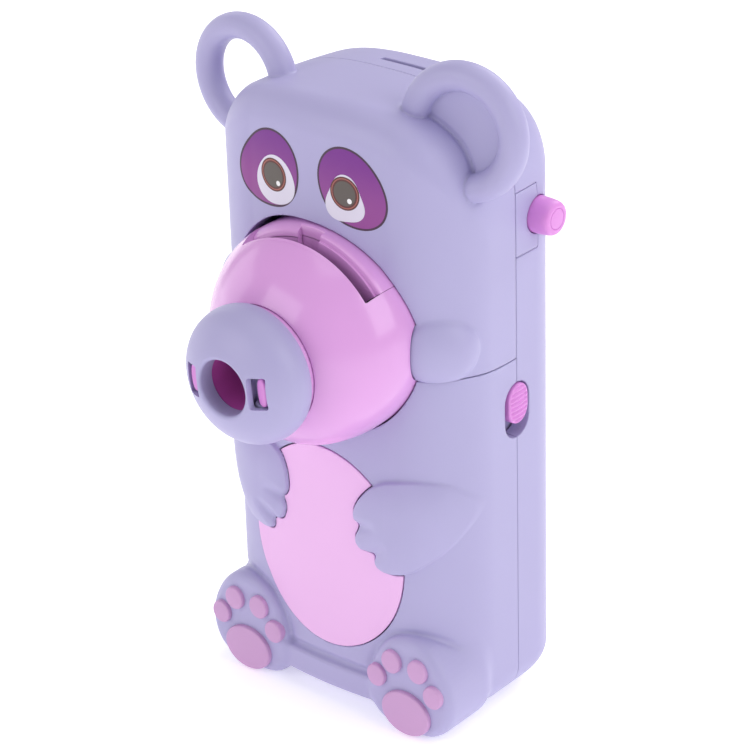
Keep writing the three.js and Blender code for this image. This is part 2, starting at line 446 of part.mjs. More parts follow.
add('main_board', mainBoard, 'pcb');
add('switch_knob', switchKnob, 'button');
add('switch_body', switchBody, 'steel');
add('switch_bed', switchBed, 'lilac');
add('battery_tray', tray, 'lilac');
add('battery_door', doorPlate, 'lilac');
add('battery_door_screw', doorScrew, 'steel');
cells.forEach((m, i) => add('battery_cell_' + (i + 1), m, 'cell'));
// springs press on the flat end of each cell, plates on its raised cap
CELL.x.forEach((x, i) => {
  const up = i % 2 === 0;
  const zb = CELL.z - CELL.len / 2, zt = CELL.z + CELL.len / 2;
  if (up) {
    add('contact_plate_' + (i + 1), box(x - 4.5, x + 4.5, CELL.y - 4.5, CELL.y + 4.5, zt + 0.2, zt + 0.7), 'steel');
  } else {
    add('contact_plate_' + (i + 1), box(x - 4.5, x + 4.5, CELL.y - 4.5, CELL.y + 4.5, 15.4, 15.9), 'steel');
  }
});
SCREWS.forEach(([x, z], i) => add('shell_screw_' + (i + 1), screwShape(x, z, 12, 35.8, 37.7, 1.35, 2.7), 'steel'));
add('rear_foot_left', rod('z', 0, 0.7, -24, 28, 5.0, 20), 'rubber');
add('rear_foot_right', rod('z', 0, 0.7, 24, 28, 5.0, 20), 'rubber');

export default root;
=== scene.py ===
import bpy
import json
import math
import numpy as np
from mathutils import Matrix, Vector


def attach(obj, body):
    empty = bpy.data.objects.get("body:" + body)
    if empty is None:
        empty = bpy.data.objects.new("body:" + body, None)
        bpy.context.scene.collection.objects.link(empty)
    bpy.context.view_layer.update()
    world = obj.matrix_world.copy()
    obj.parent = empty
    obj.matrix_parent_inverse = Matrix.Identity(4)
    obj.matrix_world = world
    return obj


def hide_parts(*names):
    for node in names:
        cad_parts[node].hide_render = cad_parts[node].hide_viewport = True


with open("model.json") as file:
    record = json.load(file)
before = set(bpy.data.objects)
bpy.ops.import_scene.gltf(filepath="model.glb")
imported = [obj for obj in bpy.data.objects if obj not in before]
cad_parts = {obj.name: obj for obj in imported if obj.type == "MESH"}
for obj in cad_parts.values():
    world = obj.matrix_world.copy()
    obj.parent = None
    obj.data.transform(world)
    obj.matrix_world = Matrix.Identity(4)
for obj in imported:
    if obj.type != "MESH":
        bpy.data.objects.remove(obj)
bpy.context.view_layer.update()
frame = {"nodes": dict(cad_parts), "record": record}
NODES = frame["nodes"]
SLOT_OF = {s["node"]: s["material_slot"] for s in frame["record"]["subparts"]}

# ------------------------------------------------------------------ dimensions, mm, row frame
HALF_W, FRONT_Y, BULGE, BACK_Y, SEAM_Y = 42.0, -6.3, 1.6, 45.4, 23.7
TOP_Z, BOT_Z = 178.2, 1.0
R_FRONT, R_BACK, R_BASE = 20.0, 13.0, 10.0
CROWN_H, CROWN_N, CROWN_FRONT, CROWN_BACK, CROWN_FALL = 29.0, 2.75, 9.0, 8.5, 2.2
AXIS_Z, GLOBE_R, GLOBE_H, GLOBE_Z, GLOBE_B = 112.0, 31.6, 29.6, 115.0, 27.0
SLOT_FRONT_Y, SLOT_BACK_Y, SLOT_L, SLOT_R = -15.5, -11.0, math.radians(-38), math.radians(53)
EARS = {1: dict(x=36.6, y=9.6, z=172.9, a=14.7, b=14.7, r=3.9, toe=5.6, lean=2.0),
        -1: dict(x=36.7, y=9.6, z=172.0, a=14.7, b=13.9, r=3.8, toe=5.6, lean=2.0)}
BELLY = (49.1, 26.1, 30.7)
BUTTON_Y, BUTTON_Z = 33.8, 143.5
PLATE = (23.7, 33.3, 134.5, 152.5)
SW_Y, SW_Z, SW_W, SW_H = 23.8, 90.5, 10.6, 16.4
ARM = [(13.0, 68.7), (10.6, 64.2), (10.7, 61.2), (12.4, 60.0), (12.1, 58.1), (10.9, 55.8), (11.3, 54.0),
       (12.8, 52.3), (15.3, 52.4), (17.5, 51.8), (17.1, 49.5), (18.5, 47.7), (21.8, 46.9), (26.1, 47.9), (28.3, 48.7),
       (32.1, 51.5), (36.3, 55.4), (39.0, 59.5), (41.0, 63.9), (41.9, 67.9), (41.5, 70.5), (40.0, 73.3), (37.3, 76.2),
       (31.5, 77.4), (22.8, 75.8), (17.6, 73.4)]
ARM_LEFT = [(14.6, 73.3), (12.6, 68.1), (12.4, 62.9), (13.8, 60.4), (15.0, 60.1), (13.8, 57.2), (14.1, 55.1),
            (15.0, 52.9), (16.2, 52.1), (18.7, 52.0), (18.7, 48.7), (20.3, 47.6), (22.3, 47.5), (26.8, 48.6), (29.5, 49.6),
            (33.0, 52.5), (36.8, 56.0), (39.3, 60.0), (41.0, 63.9), (41.9, 67.9), (41.5, 70.5), (40.0, 73.3), (37.3, 76.2),
            (31.5, 77.4), (22.8, 76.4), (17.6, 75.0)]
FOOT = [(14.2, 6.5), (13.6, 12), (15.0, 18.5), (18.5, 25.0), (23.5, 29.2), (29.0, 30.4), (34.5, 29.2),
        (39.5, 24.8), (43.0, 18.0), (43.8, 11.5), (42.0, 5.5), (38.5, 2.0), (34.0, 0.0), (22.5, 0.0), (17.5, 2.2)]
SOLE_Y = -9.3
TOES = [(38.3, 15.7, 3.1, 3.4), (33.1, 21.9, 3.2, 3.5), (24.1, 22.0, 3.2, 3.5), (18.7, 15.9, 3.1, 3.4), (28.8, 7.2, 8.2, 6.6)]
SCREWS = [(24, 150), (-24, 150), (30, 76), (-30, 76), (34, 19), (-34, 19)]
FINE = 0.55


# ------------------------------------------------------------------ field helpers
def smin(a, b, k):
    h = np.clip(0.5 + 0.5 * (b - a) / k, 0, 1)
    return b + (a - b) * h - k * h * (1 - h)


def sstep(a, b, x):
    t = np.clip((x - a) / (b - a), 0, 1)
    return t * t * (3 - 2 * t)


def chaikin(p, n=2):
    p = np.array(p, float)
    for _ in range(n):
        q = np.roll(p, -1, 0)
        p = np.stack([0.75 * p + 0.25 * q, 0.25 * p + 0.75 * q], 1).reshape(-1, 2)
    return p


def poly_sdf(x, z, poly):
    d = np.full(x.shape, 1e9)
    s = np.ones(x.shape)
    n = len(poly)
    for i in range(n):
        a, b = poly[i], poly[i - 1]
        ex, ez = b[0] - a[0], b[1] - a[1]
        wx, wz = x - a[0], z - a[1]
        t = np.clip((wx * ex + wz * ez) / (ex * ex + ez * ez + 1e-12), 0, 1)
        d = np.minimum(d, (wx - ex * t) ** 2 + (wz - ez * t) ** 2)
        c1, c2, c3 = z >= a[1], z < b[1], ex * wz > ez * wx
        flip = (c1 & c2 & c3) | (~c1 & ~c2 & ~c3)
        s = np.where(flip, -s, s)
    return s * np.sqrt(d)


def ell_sdf(x, z, cx, cz, a, b):
    u, v = (x - cx) / a, (z - cz) / b
    k = np.sqrt(u * u + v * v) + 1e-9
    g = np.sqrt((u / a) ** 2 + (v / b) ** 2) + 1e-9
    return k * (k - 1) / g


def rbox2(x, y, x0, x1, y0, y1, r=0.0):
    qx = np.abs(x - (x0 + x1) / 2) - (x1 - x0) / 2 + r
    qy = np.abs(y - (y0 + y1) / 2) - (y1 - y0) / 2 + r
    return np.hypot(np.maximum(qx, 0), np.maximum(qy, 0)) + np.minimum(np.maximum(qx, qy), 0) - r


def envelope(x, y, z):
    """About the distance outside the case's skin: a rounded plan, closed by a crown and by a rounded bottom edge."""
    t = np.clip((BOT_Z + R_BASE - z) / R_BASE, 0, 1)
    s = R_BASE * (1 - np.sqrt(1 - t * t))
    w, f, b = HALF_W - s, FRONT_Y + s, BACK_Y - s
    rf = np.minimum(np.minimum(R_FRONT, w * 0.98), (b - f) * 0.6)
    rb = np.minimum(np.minimum(R_BACK, w * 0.98), (b - f) * 0.4)
    ax = np.abs(x)
    half = w - rf
    bow = BULGE * np.minimum(1, half / 22) * np.clip(1 - (ax / np.maximum(half, 1e-3)) ** 2, 0, 1)
    core = np.maximum(np.maximum(ax - w, f - bow - y), y - b)
    cf = np.hypot(ax - half, f + rf - y) - rf
    cb = np.hypot(ax - (w - rb), y - (b - rb)) - rb
    d = np.where((ax > half) & (y < f + rf), cf, core)
    d = np.where((ax > w - rb) & (y > b - rb), cb, d)
    # the crown drops by a quarter round towards the front and the back edge
    kf = np.sqrt(1 - np.clip((ax - (HALF_W - R_FRONT)) / R_FRONT, 0, 1) ** 2)
    kb = np.sqrt(1 - np.clip((ax - (HALF_W - R_BACK)) / R_BACK, 0, 1) ** 2)
    sf = (y - (FRONT_Y - bow + R_FRONT * (1 - kf))) * np.maximum(kf, 0.45)
    sb = (BACK_Y - R_BACK * (1 - kb) - y) * np.maximum(kb, 0.45)
    hf = CROWN_FRONT * (1 - np.sqrt(1 - np.clip(1 - sf / CROWN_FRONT, 0, 1) ** 2))
    hb = CROWN_BACK * (1 - np.sqrt(1 - np.clip(1 - sb / CROWN_BACK, 0, 1) ** 2))
    hb = hb + CROWN_FALL * np.clip((y - 18.0) / 26.0, 0, 1) ** 1.5
    u = np.maximum(z + hf + hb - (TOP_Z - CROWN_H), 0) / CROWN_H
    top = CROWN_H * (((ax / HALF_W) ** CROWN_N + u ** CROWN_N + 1e-9) ** (1 / CROWN_N) - 1)
    d = np.where(z > TOP_Z - CROWN_H - CROWN_BACK, np.maximum(d, top), d)
    return np.maximum(np.maximum(d, BOT_Z - z), z - TOP_Z)


def cheek(x, y, z):
    d = None
    for s in (1, -1):
        a = s * 0.864
        dx, dy, dz = x - s * 34.5, y - 1.2, z - 114.8
        u = (dx * math.cos(a) + dy * math.sin(a)) / 10.3
        v = (-dx * math.sin(a) + dy * math.cos(a)) / 5.9
        w = dz / 9.7
        k = (np.abs(u) ** 2.05 + np.abs(v) ** 2.05 + np.abs(w) ** 2.05) ** (1 / 2.05)
        e = (k - 1) * 8.0
        d = e if d is None else np.minimum(d, e)
    return d


def ear(side, x, y, z):
    """Ring distance and web distance of one ear."""
    E = EARS[side]
    T, L = math.radians(E["toe"]), math.radians(E["lean"])
    e1 = (math.cos(T), math.sin(T), 0.0)
    e2 = (-math.sin(T) * math.sin(L), math.cos(T) * math.sin(L), math.cos(L))
    e3 = (e1[1] * e2[2] - e1[2] * e2[1], e1[2] * e2[0] - e1[0] * e2[2], e1[0] * e2[1] - e1[1] * e2[0])
    dx, dy, dz = side * x - E["x"], y - E["y"], z - E["z"]
    u = dx * e1[0] + dy * e1[1] + dz * e1[2]
    v = dx * e2[0] + dy * e2[1] + dz * e2[2]
    w = dx * e3[0] + dy * e3[1] + dz * e3[2]
    rad = np.hypot(u, v * E["a"] / E["b"])
    ring = np.hypot(rad - E["a"], w) - E["r"]
    # the web lies behind the middle of the ring
    q0, q1 = rad - (E["a"] - 1.0), np.abs(w + 1.5) - 1.2
    web = np.minimum(np.maximum(q0, q1), 0) + np.hypot(np.maximum(q0, 0), np.maximum(q1, 0))
    return ring, web


def head_field(x, y, z):
    d = envelope(x, y, z)
    d = smin(d, cheek(x, y, z), 0.5)
    rr, web = ear(1, x, y, z)
    rl, _ = ear(-1, x, y, z)
    # a fine crease runs where the web meets the head
    d2 = smin(d, web, 0.5) + 0.45 * np.exp(-(d / 0.7) ** 2 - (web / 0.7) ** 2)
    d2 = smin(d2, rr, 0.25) + 0.25 * np.exp(-(d / 0.6) ** 2 - (rr / 0.6) ** 2)
    return smin(d2, rl, 0.3)


ARM_R, ARM_L = chaikin(ARM), chaikin(ARM_LEFT) * [-1, 1]
FOOT_S = chaikin(FOOT)


def arm_sdf(x, z):
    return np.where(x > 0, poly_sdf(x, z, ARM_R), poly_sdf(x, z, ARM_L))


def seg(x, z, a, b):
    ex, ez = b[0] - a[0], b[1] - a[1]
    t = np.clip(((x - a[0]) * ex + (z - a[1]) * ez) / (ex * ex + ez * ez), 0, 1)
    return np.hypot(x - a[0] - ex * t, z - a[1] - ez * t), t


def arm_relief(x, z):
    d = arm_sdf(x, z)
    ax = np.abs(x)
    edge = 0.5 + 0.6 * sstep(38, 20, ax)
    h = edge * sstep(0, 0.45, -d) + 2.1 * (1 - (1 - np.clip(-d / 10.0, 0, 1)) ** 2.2) * sstep(44.5, 36, ax)
    for a, b in (((12.6, 59.8), (19.5, 61.5)), ((17.3, 52.2), (22.5, 57.0))):
        ds, t = seg(ax + np.where(x < 0, -1.6, 0), z, a, b)
        h = h - 0.75 * np.exp(-(ds / 1.3) ** 2) * (1 - t * t) * (d < 0)
    return np.maximum(h, 0) * (d < 0)


def body_field(x, y, z, relief=None, foot2=None):
    d = envelope(x, y, z)
    if relief is None:
        relief = arm_relief(x, z)
    d = d - relief * (y < 18)
    if foot2 is None:
        foot2 = poly_sdf(np.abs(x), z, FOOT_S)
    r = 3.0
    q0, q1 = foot2 + r, np.abs(y - 0.35) - 9.65 + r
    foot = np.minimum(np.maximum(q0, q1), 0) + np.hypot(np.maximum(q0, 0), np.maximum(q1, 0)) - r
    foot = np.maximum(foot, -z + 0.0)
    out = sstep(36, 42, np.abs(x))
    d = smin(d, foot, 1.0 + 2.5 * out) + 0.4 * (1 - out) * np.exp(-(d / 1.0) ** 2 - (foot / 1.0) ** 2)
    q0 = rbox2(x, z, -19, 19, 5.0, 12.6, 1.2) + 1.0
    q1 = np.abs(y + 4.4 - 0.0) - 4.7 + 1.0 + 0.0035 * x * x
    pl = np.minimum(np.maximum(q0, q1), 0) + np.hypot(np.maximum(q0, 0), np.maximum(q1, 0)) - 1.0
    d = smin(d, pl, 1.2)
    d = d + 0.75 * np.exp(-((z - 13.8) / 0.9) ** 2) * sstep(17, 14, np.abs(x)) * (y < 0)
    return np.maximum(d, -z)


# ------------------------------------------------------------------ surface from a field
def nets(fn, lo, hi, h):
    ax = [np.arange(lo[i], hi[i] + h, h) for i in range(3)]
    X, Y, Z = np.meshgrid(*ax, indexing="ij")
    F = fn(X, Y, Z)
    s = F < 0
    nx, ny, nz = F.shape
    cnt = np.zeros((nx - 1, ny - 1, nz - 1), np.uint8)
    for i in (0, 1):
        for j in (0, 1):
            for k in (0, 1):
                cnt += s[i:nx - 1 + i, j:ny - 1 + j, k:nz - 1 + k]
    act = (cnt > 0) & (cnt < 8)
    ids = np.argwhere(act)
    idx = -np.ones(act.shape, np.int64)
    idx[act] = np.arange(len(ids))
    acc, num = np.zeros((len(ids), 3)), np.zeros(len(ids))
    cor = [(i, j, k) for i in (0, 1) for j in (0, 1) for k in (0, 1)]
    for a in cor:
        for b in cor:
            if sum(b) == sum(a) + 1 and all(q >= p for p, q in zip(a, b)):
                Fa = F[ids[:, 0] + a[0], ids[:, 1] + a[1], ids[:, 2] + a[2]]
                Fb = F[ids[:, 0] + b[0], ids[:, 1] + b[1], ids[:, 2] + b[2]]
                m = (Fa < 0) != (Fb < 0)
                t = Fa / (Fa - Fb + 1e-30)
                P = np.array(a)[None] + t[:, None] * (np.array(b) - np.array(a))[None]
                acc[m] += P[m]
                num[m] += 1
    V = np.array(lo)[None] + h * (ids + acc / num[:, None])
    quads = []
    for d in range(3):
        u, v = (d + 1) % 3, (d + 2) % 3
        s0 = np.take(s, range(0, s.shape[d] - 1), d)
        s1 = np.take(s, range(1, s.shape[d]), d)
        P = np.argwhere(s0 != s1)
        ok = (P[:, u] > 0) & (P[:, v] > 0) & (P[:, u] < s.shape[u] - 1) & (P[:, v] < s.shape[v] - 1)
        P = P[ok]
        inside = s0[P[:, 0], P[:, 1], P[:, 2]]
        c = []
        for du, dv in ((0, 0), (-1, 0), (-1, -1), (0, -1)):
            Q = P.copy()
            Q[:, u] += du
            Q[:, v] += dv
            c.append(idx[Q[:, 0], Q[:, 1], Q[:, 2]])
        q = np.stack(c, 1)
        q[~inside] = q[~inside][:, ::-1]
        quads.append(q)
    Q = np.concatenate(quads)
    Q = Q[(Q >= 0).all(1)]
    V = project(fn, V)
    T = np.concatenate([Q[:, [0, 1, 2]], Q[:, [0, 2, 3]]])
    return V, T


def gradient(fn, V, e=0.02):
    g = np.zeros_like(V)
    for i in range(3):
        p, q = V.copy(), V.copy()
        p[:, i] += e
        q[:, i] -= e
        g[:, i] = (fn(*p.T) - fn(*q.T)) / (2 * e)
    return g


def project(fn, V, n=3, cap=0.5):
    for _ in range(n):
        f = fn(*V.T)
        g = gradient(fn, V)
        st = g * (f / np.maximum((g * g).sum(1), 0.05))[:, None]
        ln = np.linalg.norm(st, axis=1)
        st *= np.minimum(1, cap / np.maximum(ln, 1e-9))[:, None]
        V = V - st
    return V


def compact(V, T):
    used = np.unique(T)
    m = -np.ones(len(V), np.int64)
    m[used] = np.arange(len(used))
    return V[used], m[T]


def clip(V, T, g):
    """Keeps the part of the mesh where g > 0, cutting triangles along g = 0."""
    d = g(*V.T)
    keep = d > 0
    k = keep[T].sum(1)
    full = T[k == 3]
    out = [full]
    part = T[(k == 1) | (k == 2)]
    if len(part):
        E = np.concatenate([part[:, [0, 1]], part[:, [1, 2]], part[:, [2, 0]]])
        E = E[keep[E[:, 0]] != keep[E[:, 1]]]
        E = np.unique(np.sort(E, 1), axis=0)
        a, b = V[E[:, 0]], V[E[:, 1]]
        lo, hi = np.zeros(len(E)), np.ones(len(E))
        sa = keep[E[:, 0]]
        for _ in range(14):
            m = (lo + hi) / 2
            km = g(*(a + m[:, None] * (b - a)).T) > 0
            same = km == sa
            lo, hi = np.where(same, m, lo), np.where(same, hi, m)
        m = np.clip((lo + hi) / 2, 0.02, 0.98)
        new = a + m[:, None] * (b - a)
        n0 = len(V)
        key = E[:, 0] * (n0 + 1) + E[:, 1]
        order = np.argsort(key)
        skey = key[order]
        V = np.concatenate([V, new])

        def mid(p, q):
            kk = np.minimum(p, q) * (n0 + 1) + np.maximum(p, q)
            return n0 + order[np.searchsorted(skey, kk)]
        for want, cnt in ((True, 1), (False, 2)):
            P = part[keep[part].sum(1) == cnt]
            if not len(P):
                continue
            r = np.argmax(keep[P] == want, 1)
            P = np.stack([P[np.arange(len(P)), (r + j) % 3] for j in range(3)], 1)
            ab, ca = mid(P[:, 0], P[:, 1]), mid(P[:, 2], P[:, 0])
            if want:
                out.append(np.stack([P[:, 0], ab, ca], 1))
            else:
                out.append(np.stack([ab, P[:, 1], P[:, 2]], 1))
                out.append(np.stack([ab, P[:, 2], ca], 1))
    return compact(V, np.concatenate(out))


def vnormals(V, T):
    n = np.cross(V[T[:, 1]] - V[T[:, 0]], V[T[:, 2]] - V[T[:, 0]])
    N = np.zeros_like(V)
    for i in range(3):
        np.add.at(N, T[:, i], n)
    return N / np.maximum(np.linalg.norm(N, axis=1), 1e-12)[:, None]


def lips(V, T, rule, inset=0.28):
    """Turns every open edge inward. rule(P, N) gives the vector a boundary point moves by."""
    E = np.concatenate([T[:, [0, 1]], T[:, [1, 2]], T[:, [2, 0]]])
    key = np.sort(E, 1)
    uniq, inv, cnt = np.unique(key, axis=0, return_inverse=True, return_counts=True)
    B = E[cnt[inv.ravel()] == 1]
    if not len(B):
        return V, T
    bv = np.unique(B)
    N = vnormals(V, T)
    P = V[bv]
    step = rule(P, N[bv])
    n0 = len(V)
    m = -np.ones(n0, np.int64)
    m[bv] = np.arange(len(bv))
    r1 = P + step * (inset / np.maximum(np.linalg.norm(step, axis=1), 1e-9))[:, None]
    r2 = P + step
    V = np.concatenate([V, r1, r2])
    a, b = B[:, 0], B[:, 1]
    a1, b1 = n0 + m[a], n0 + m[b]
    a2, b2 = a1 + len(bv), b1 + len(bv)
    T = np.concatenate([T, np.stack([b, a, a1], 1), np.stack([b, a1, b1], 1), np.stack([b1, a1, a2], 1), np.stack([b1, a2, b2], 1)])
    return V, T


def mesh_object(name, V, T, mat, smooth=True, angle=None):
    me = bpy.data.meshes.new(name)
    me.vertices.add(len(V))
    me.vertices.foreach_set("co", (np.asarray(V, np.float64) / 1000).ravel())
    me.loops.add(len(T) * 3)
    me.loops.foreach_set("vertex_index", np.asarray(T, np.int32).ravel())
    me.polygons.add(len(T))
    me.polygons.foreach_set("loop_start", np.arange(0, len(T) * 3, 3, dtype=np.int32))
    me.polygons.foreach_set("loop_total", np.full(len(T), 3, np.int32))
    me.update(calc_edges=True)
    me.validate()
    if smooth:
        me.polygons.foreach_set("use_smooth", np.ones(len(me.polygons), bool))
    if angle is not None:
        me.set_sharp_from_angle(angle=math.radians(angle))
    o = bpy.data.objects.new(name, me)
    bpy.context.scene.collection.objects.link(o)
    me.materials.append(mat)
    return o


# ------------------------------------------------------------------ swept and turned shapes
def turned(profile, seg=128, a0=None, a1=None, z=AXIS_Z, warp=None, closed=False):
    """Revolves [radius, y] points about the snout axis; angles from straight up, clockwise seen from the front."""
    p = np.array(profile, float)
    if a0 is None:
        ang = np.linspace(0, 2 * math.pi, seg, endpoint=False)
        wrap = True
    else:
        ang = np.linspace(a0, a1, seg)
        wrap = False
    n, m = len(ang), len(p)
    V = np.zeros((n, m, 3))
    V[:, :, 0] = np.sin(ang)[:, None] * p[None, :, 0]
    V[:, :, 1] = p[None, :, 1]
    V[:, :, 2] = z + np.cos(ang)[:, None] * p[None, :, 0]
    V = V.reshape(-1, 3)
    T = []
    for i in range(n if wrap else n - 1):
        j = (i + 1) % n
        for k in range(m if closed else m - 1):
            l = (k + 1) % m
            T.append((i * m + k, j * m + k, j * m + l))
            T.append((i * m + k, j * m + l, i * m + l))
    if not wrap and closed:
        for i, flip in ((0, False), (n - 1, True)):
            c = len(V)
            V = np.concatenate([V, V[i * m:(i + 1) * m].mean(0)[None]])
            for k in range(m):
                l = (k + 1) % m
                T.append((c, i * m + l, i * m + k) if flip else (c, i * m + k, i * m + l))
    T = np.array(T)
    if warp is not None:
        V = warp(V)
    if closed and np.einsum("ij,ij->", V[T[:, 0]], np.cross(V[T[:, 1]], V[T[:, 2]])) < 0:
        T = T[:, ::-1]
    return V, T


def refine(points, n=6):
    """Round profile through the given points."""
    p = np.array(points, float)
    out = []
    for i in range(len(p) - 1):
        p0, p1, p2, p3 = p[max(i - 1, 0)], p[i], p[i + 1], p[min(i + 2, len(p) - 1)]
        for t in np.linspace(0, 1, n, endpoint=False):
            out.append(0.5 * ((2 * p1) + (-p0 + p2) * t + (2 * p0 - 5 * p1 + 4 * p2 - p3) * t * t + (-p0 + 3 * p1 - 3 * p2 + p3) * t ** 3))
    out.append(p[-1])
    return np.array(out)


def droop(V):
    V = V.copy()
    k = np.clip((FRONT_Y - V[:, 1]) / (GLOBE_B * 0.84), 0, 1)
    s = GLOBE_H / GLOBE_R + (1 - GLOBE_H / GLOBE_R) * k
    V[:, 2] = (V[:, 2] - AXIS_Z) * s + AXIS_Z + (GLOBE_Z - AXIS_Z) * (1 - k * k * (3 - 2 * k))
    return V


def undroop_z(y, z):
    k = np.clip((FRONT_Y - y) / (GLOBE_B * 0.84), 0, 1)
    s = GLOBE_H / GLOBE_R + (1 - GLOBE_H / GLOBE_R) * k
    return (z - AXIS_Z - (GLOBE_Z - AXIS_Z) * (1 - k * k * (3 - 2 * k))) / s + AXIS_Z


def slab(outline, y0, y1, bevel=0.4, steps=3):
    """Rounded-edge plate: a 2-D outline in x, z pushed along y, its front edge (y0) rounded."""
    p = np.array(outline, float)
    area = 0.5 * np.sum(p[:, 0] * np.roll(p[:, 1], -1) - np.roll(p[:, 0], -1) * p[:, 1])
    if area < 0:
        p = p[::-1]
    c = p.mean(0)
    t = np.roll(p, -1, 0) - np.roll(p, 1, 0)
    nrm = np.stack([t[:, 1], -t[:, 0]], 1)
    nrm /= np.linalg.norm(nrm, axis=1)[:, None]
    rings = [(y1, 0.0)]
    for i in range(steps + 1):
        a = i * math.pi / 2 / steps
        rings.append((y0 + bevel * (1 - math.sin(a)), bevel * (1 - math.cos(a))))
    V = []
    for y, ins in rings:
        q = p - nrm * ins
        V += [(x, y, z) for x, z in q]
    n = len(p)
    V.append((c[0], y0, c[1]))
    V.append((c[0], y1, c[1]))
    T = []
    for r in range(len(rings) - 1):
        for i in range(n):
            j = (i + 1) % n
            a, b, cc, d = r * n + i, r * n + j, (r + 1) * n + j, (r + 1) * n + i
            T += [(a, b, cc), (a, cc, d)]
    top = (len(rings) - 1) * n
    for i in range(n):
        j = (i + 1) % n
        T.append((top + i, top + j, len(V) - 2))
        T.append((j, i, len(V) - 1))
    return np.array(V), np.array(T)


def merge(parts):
    V, T, n = [], [], 0
    for v, t in parts:
        V.append(v)
        T.append(t + n)
        n += len(v)
    return np.concatenate(V), np.concatenate(T)


# ------------------------------------------------------------------ materials
def srgb(r, g, b):
    f = lambda c: (c / 255) / 12.92 if c / 255 <= 0.04045 else ((c / 255 + 0.055) / 1.055) ** 2.4
    return (f(r), f(g), f(b), 1.0)


def plastic(name, rgb, rough=0.4, dark=0.93, spec=0.5, sub=0.0, coat=0.0, bump=0.02, metal=0.0, scale=260.0, grad=None):
    m = bpy.data.materials.new(name)
    m.use_nodes = True
    nt = m.node_tree
    N, L = nt.nodes, nt.links
    p = N["Principled BSDF"]
    tc = N.new("ShaderNodeTexCoord")
    big = N.new("ShaderNodeTexNoise")
    big.inputs["Scale"].default_value = 22.0
    big.inputs["Detail"].default_value = 3.0
    L.new(tc.outputs["Object"], big.inputs["Vector"])
    mix = N.new("ShaderNodeMix")
    mix.data_type = "RGBA"
    c = srgb(*rgb)
    mix.inputs["A"].default_value = tuple(v * dark for v in c[:3]) + (1.0,)
    mix.inputs["B"].default_value = c
    L.new(big.outputs["Fac"], mix.inputs["Factor"])
    col = mix.outputs["Result"]
    if grad:
        axis, a, b, rgb2 = grad
        sep = N.new("ShaderNodeSeparateXYZ")
        L.new(tc.outputs["Object"], sep.inputs[0])
        mr = N.new("ShaderNodeMapRange")
        mr.interpolation_type = "SMOOTHSTEP"
        mr.inputs["From Min"].default_value = a
        mr.inputs["From Max"].default_value = b
        L.new(sep.outputs[axis], mr.inputs["Value"])
        mg = N.new("ShaderNodeMix")
        mg.data_type = "RGBA"
        L.new(mr.outputs["Result"], mg.inputs["Factor"])
        L.new(col, mg.inputs["A"])
        mg.inputs["B"].default_value = srgb(*rgb2)
        col = mg.outputs["Result"]
    L.new(col, p.inputs["Base Color"])
    fine = N.new("ShaderNodeTexNoise")
    fine.inputs["Scale"].default_value = scale
    fine.inputs["Detail"].default_value = 2.0
    L.new(tc.outputs["Object"], fine.inputs["Vector"])
    mr2 = N.new("ShaderNodeMapRange")
    mr2.inputs["To Min"].default_value = rough * 0.92
    mr2.inputs["To Max"].default_value = min(1.0, rough * 1.08)
    L.new(fine.outputs["Fac"], mr2.inputs["Value"])
    L.new(mr2.outputs["Result"], p.inputs["Roughness"])
    bp = N.new("ShaderNodeBump")
    bp.inputs["Strength"].default_value = bump
    bp.inputs["Distance"].default_value = 0.0004
    L.new(fine.outputs["Fac"], bp.inputs["Height"])
    L.new(bp.outputs["Normal"], p.inputs["Normal"])
    p.inputs["Metallic"].default_value = metal
    p.inputs["Specular IOR Level"].default_value = spec
    if sub:
        p.inputs["Subsurface Weight"].default_value = sub
        p.inputs["Subsurface Radius"].default_value = (1.0, 0.7, 1.0)
        p.inputs["Subsurface Scale"].default_value = 0.002
    if coat:
        p.inputs["Coat Weight"].default_value = coat
        p.inputs["Coat Roughness"].default_value = 0.07
    return m


LILAC = plastic("lilac", (179, 173, 215), 0.42, spec=0.45, sub=0.08)
GLOSS = plastic("pink_gloss", (226, 164, 229), 0.22, spec=0.5, coat=0.35, bump=0.01)
BELLYM = plastic("pink_belly", (240, 190, 240), 0.45, spec=0.4)
CONTROL = plastic("pink_control", (222, 142, 222), 0.34, spec=0.5)
SLOTM = plastic("pink_wall", (206, 122, 206), 0.4, spec=0.4)
PADM = plastic("pad_pink", (206, 162, 208), 0.5, spec=0.35)
# magenta focus tube: the magenta is the part's own colour, but the base is set darker as painted shade for the deep
# bore
TUBE_MAGENTA_SHADED = plastic("tube_magenta_painted_shade", (200, 90, 180), 0.35, spec=0.4)
BLACK = plastic("black", (22, 21, 26), 0.5)
WHITE = plastic("white_part", (235, 234, 230), 0.45)
STEEL = plastic("steel", (176, 178, 184), 0.32, metal=1.0, bump=0.05, scale=900.0)
BOARD = plastic("board", (24, 92, 52), 0.5)
CELLM = plastic("cell", (58, 60, 68), 0.35, metal=0.4)
RUBBER = plastic("rubber", (122, 114, 160), 0.85, bump=0.08)
CHROME = plastic("reflector", (210, 210, 214), 0.12, metal=1.0)
DARKIN = plastic("inside_dark", (58, 46, 82), 0.8)


def glass():
    m = plastic("lens_clear", (226, 236, 242), 0.05, bump=0.0)
    p = m.node_tree.nodes["Principled BSDF"]
    p.inputs["Transmission Weight"].default_value = 0.9
    p.inputs["IOR"].default_value = 1.49
    return m


LENS = glass()
MATS = {"lilac_shell": LILAC, "pink_gloss": GLOSS, "pink_belly": BELLYM, "pink_control": CONTROL, "magenta_tube": TUBE_MAGENTA_SHADED,
        "lens": LENS, "black_plastic": BLACK, "white_plastic": WHITE, "reflector": CHROME, "steel": STEEL, "board": BOARD,
        "cell": CELLM, "rubber_pad": RUBBER}
for name, o in NODES.items():
    o.data.materials.clear()
    o.data.materials.append(MATS[SLOT_OF[name]])


def put(o, body, slot, *nodes):
    if nodes:
        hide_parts(*nodes)
    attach(o, body)
    return o


# ------------------------------------------------------------------ case shells
GAP = 0.14


def neck(y):
    return 106.8 - 1.1 * sstep(2.0, 20.0, y)


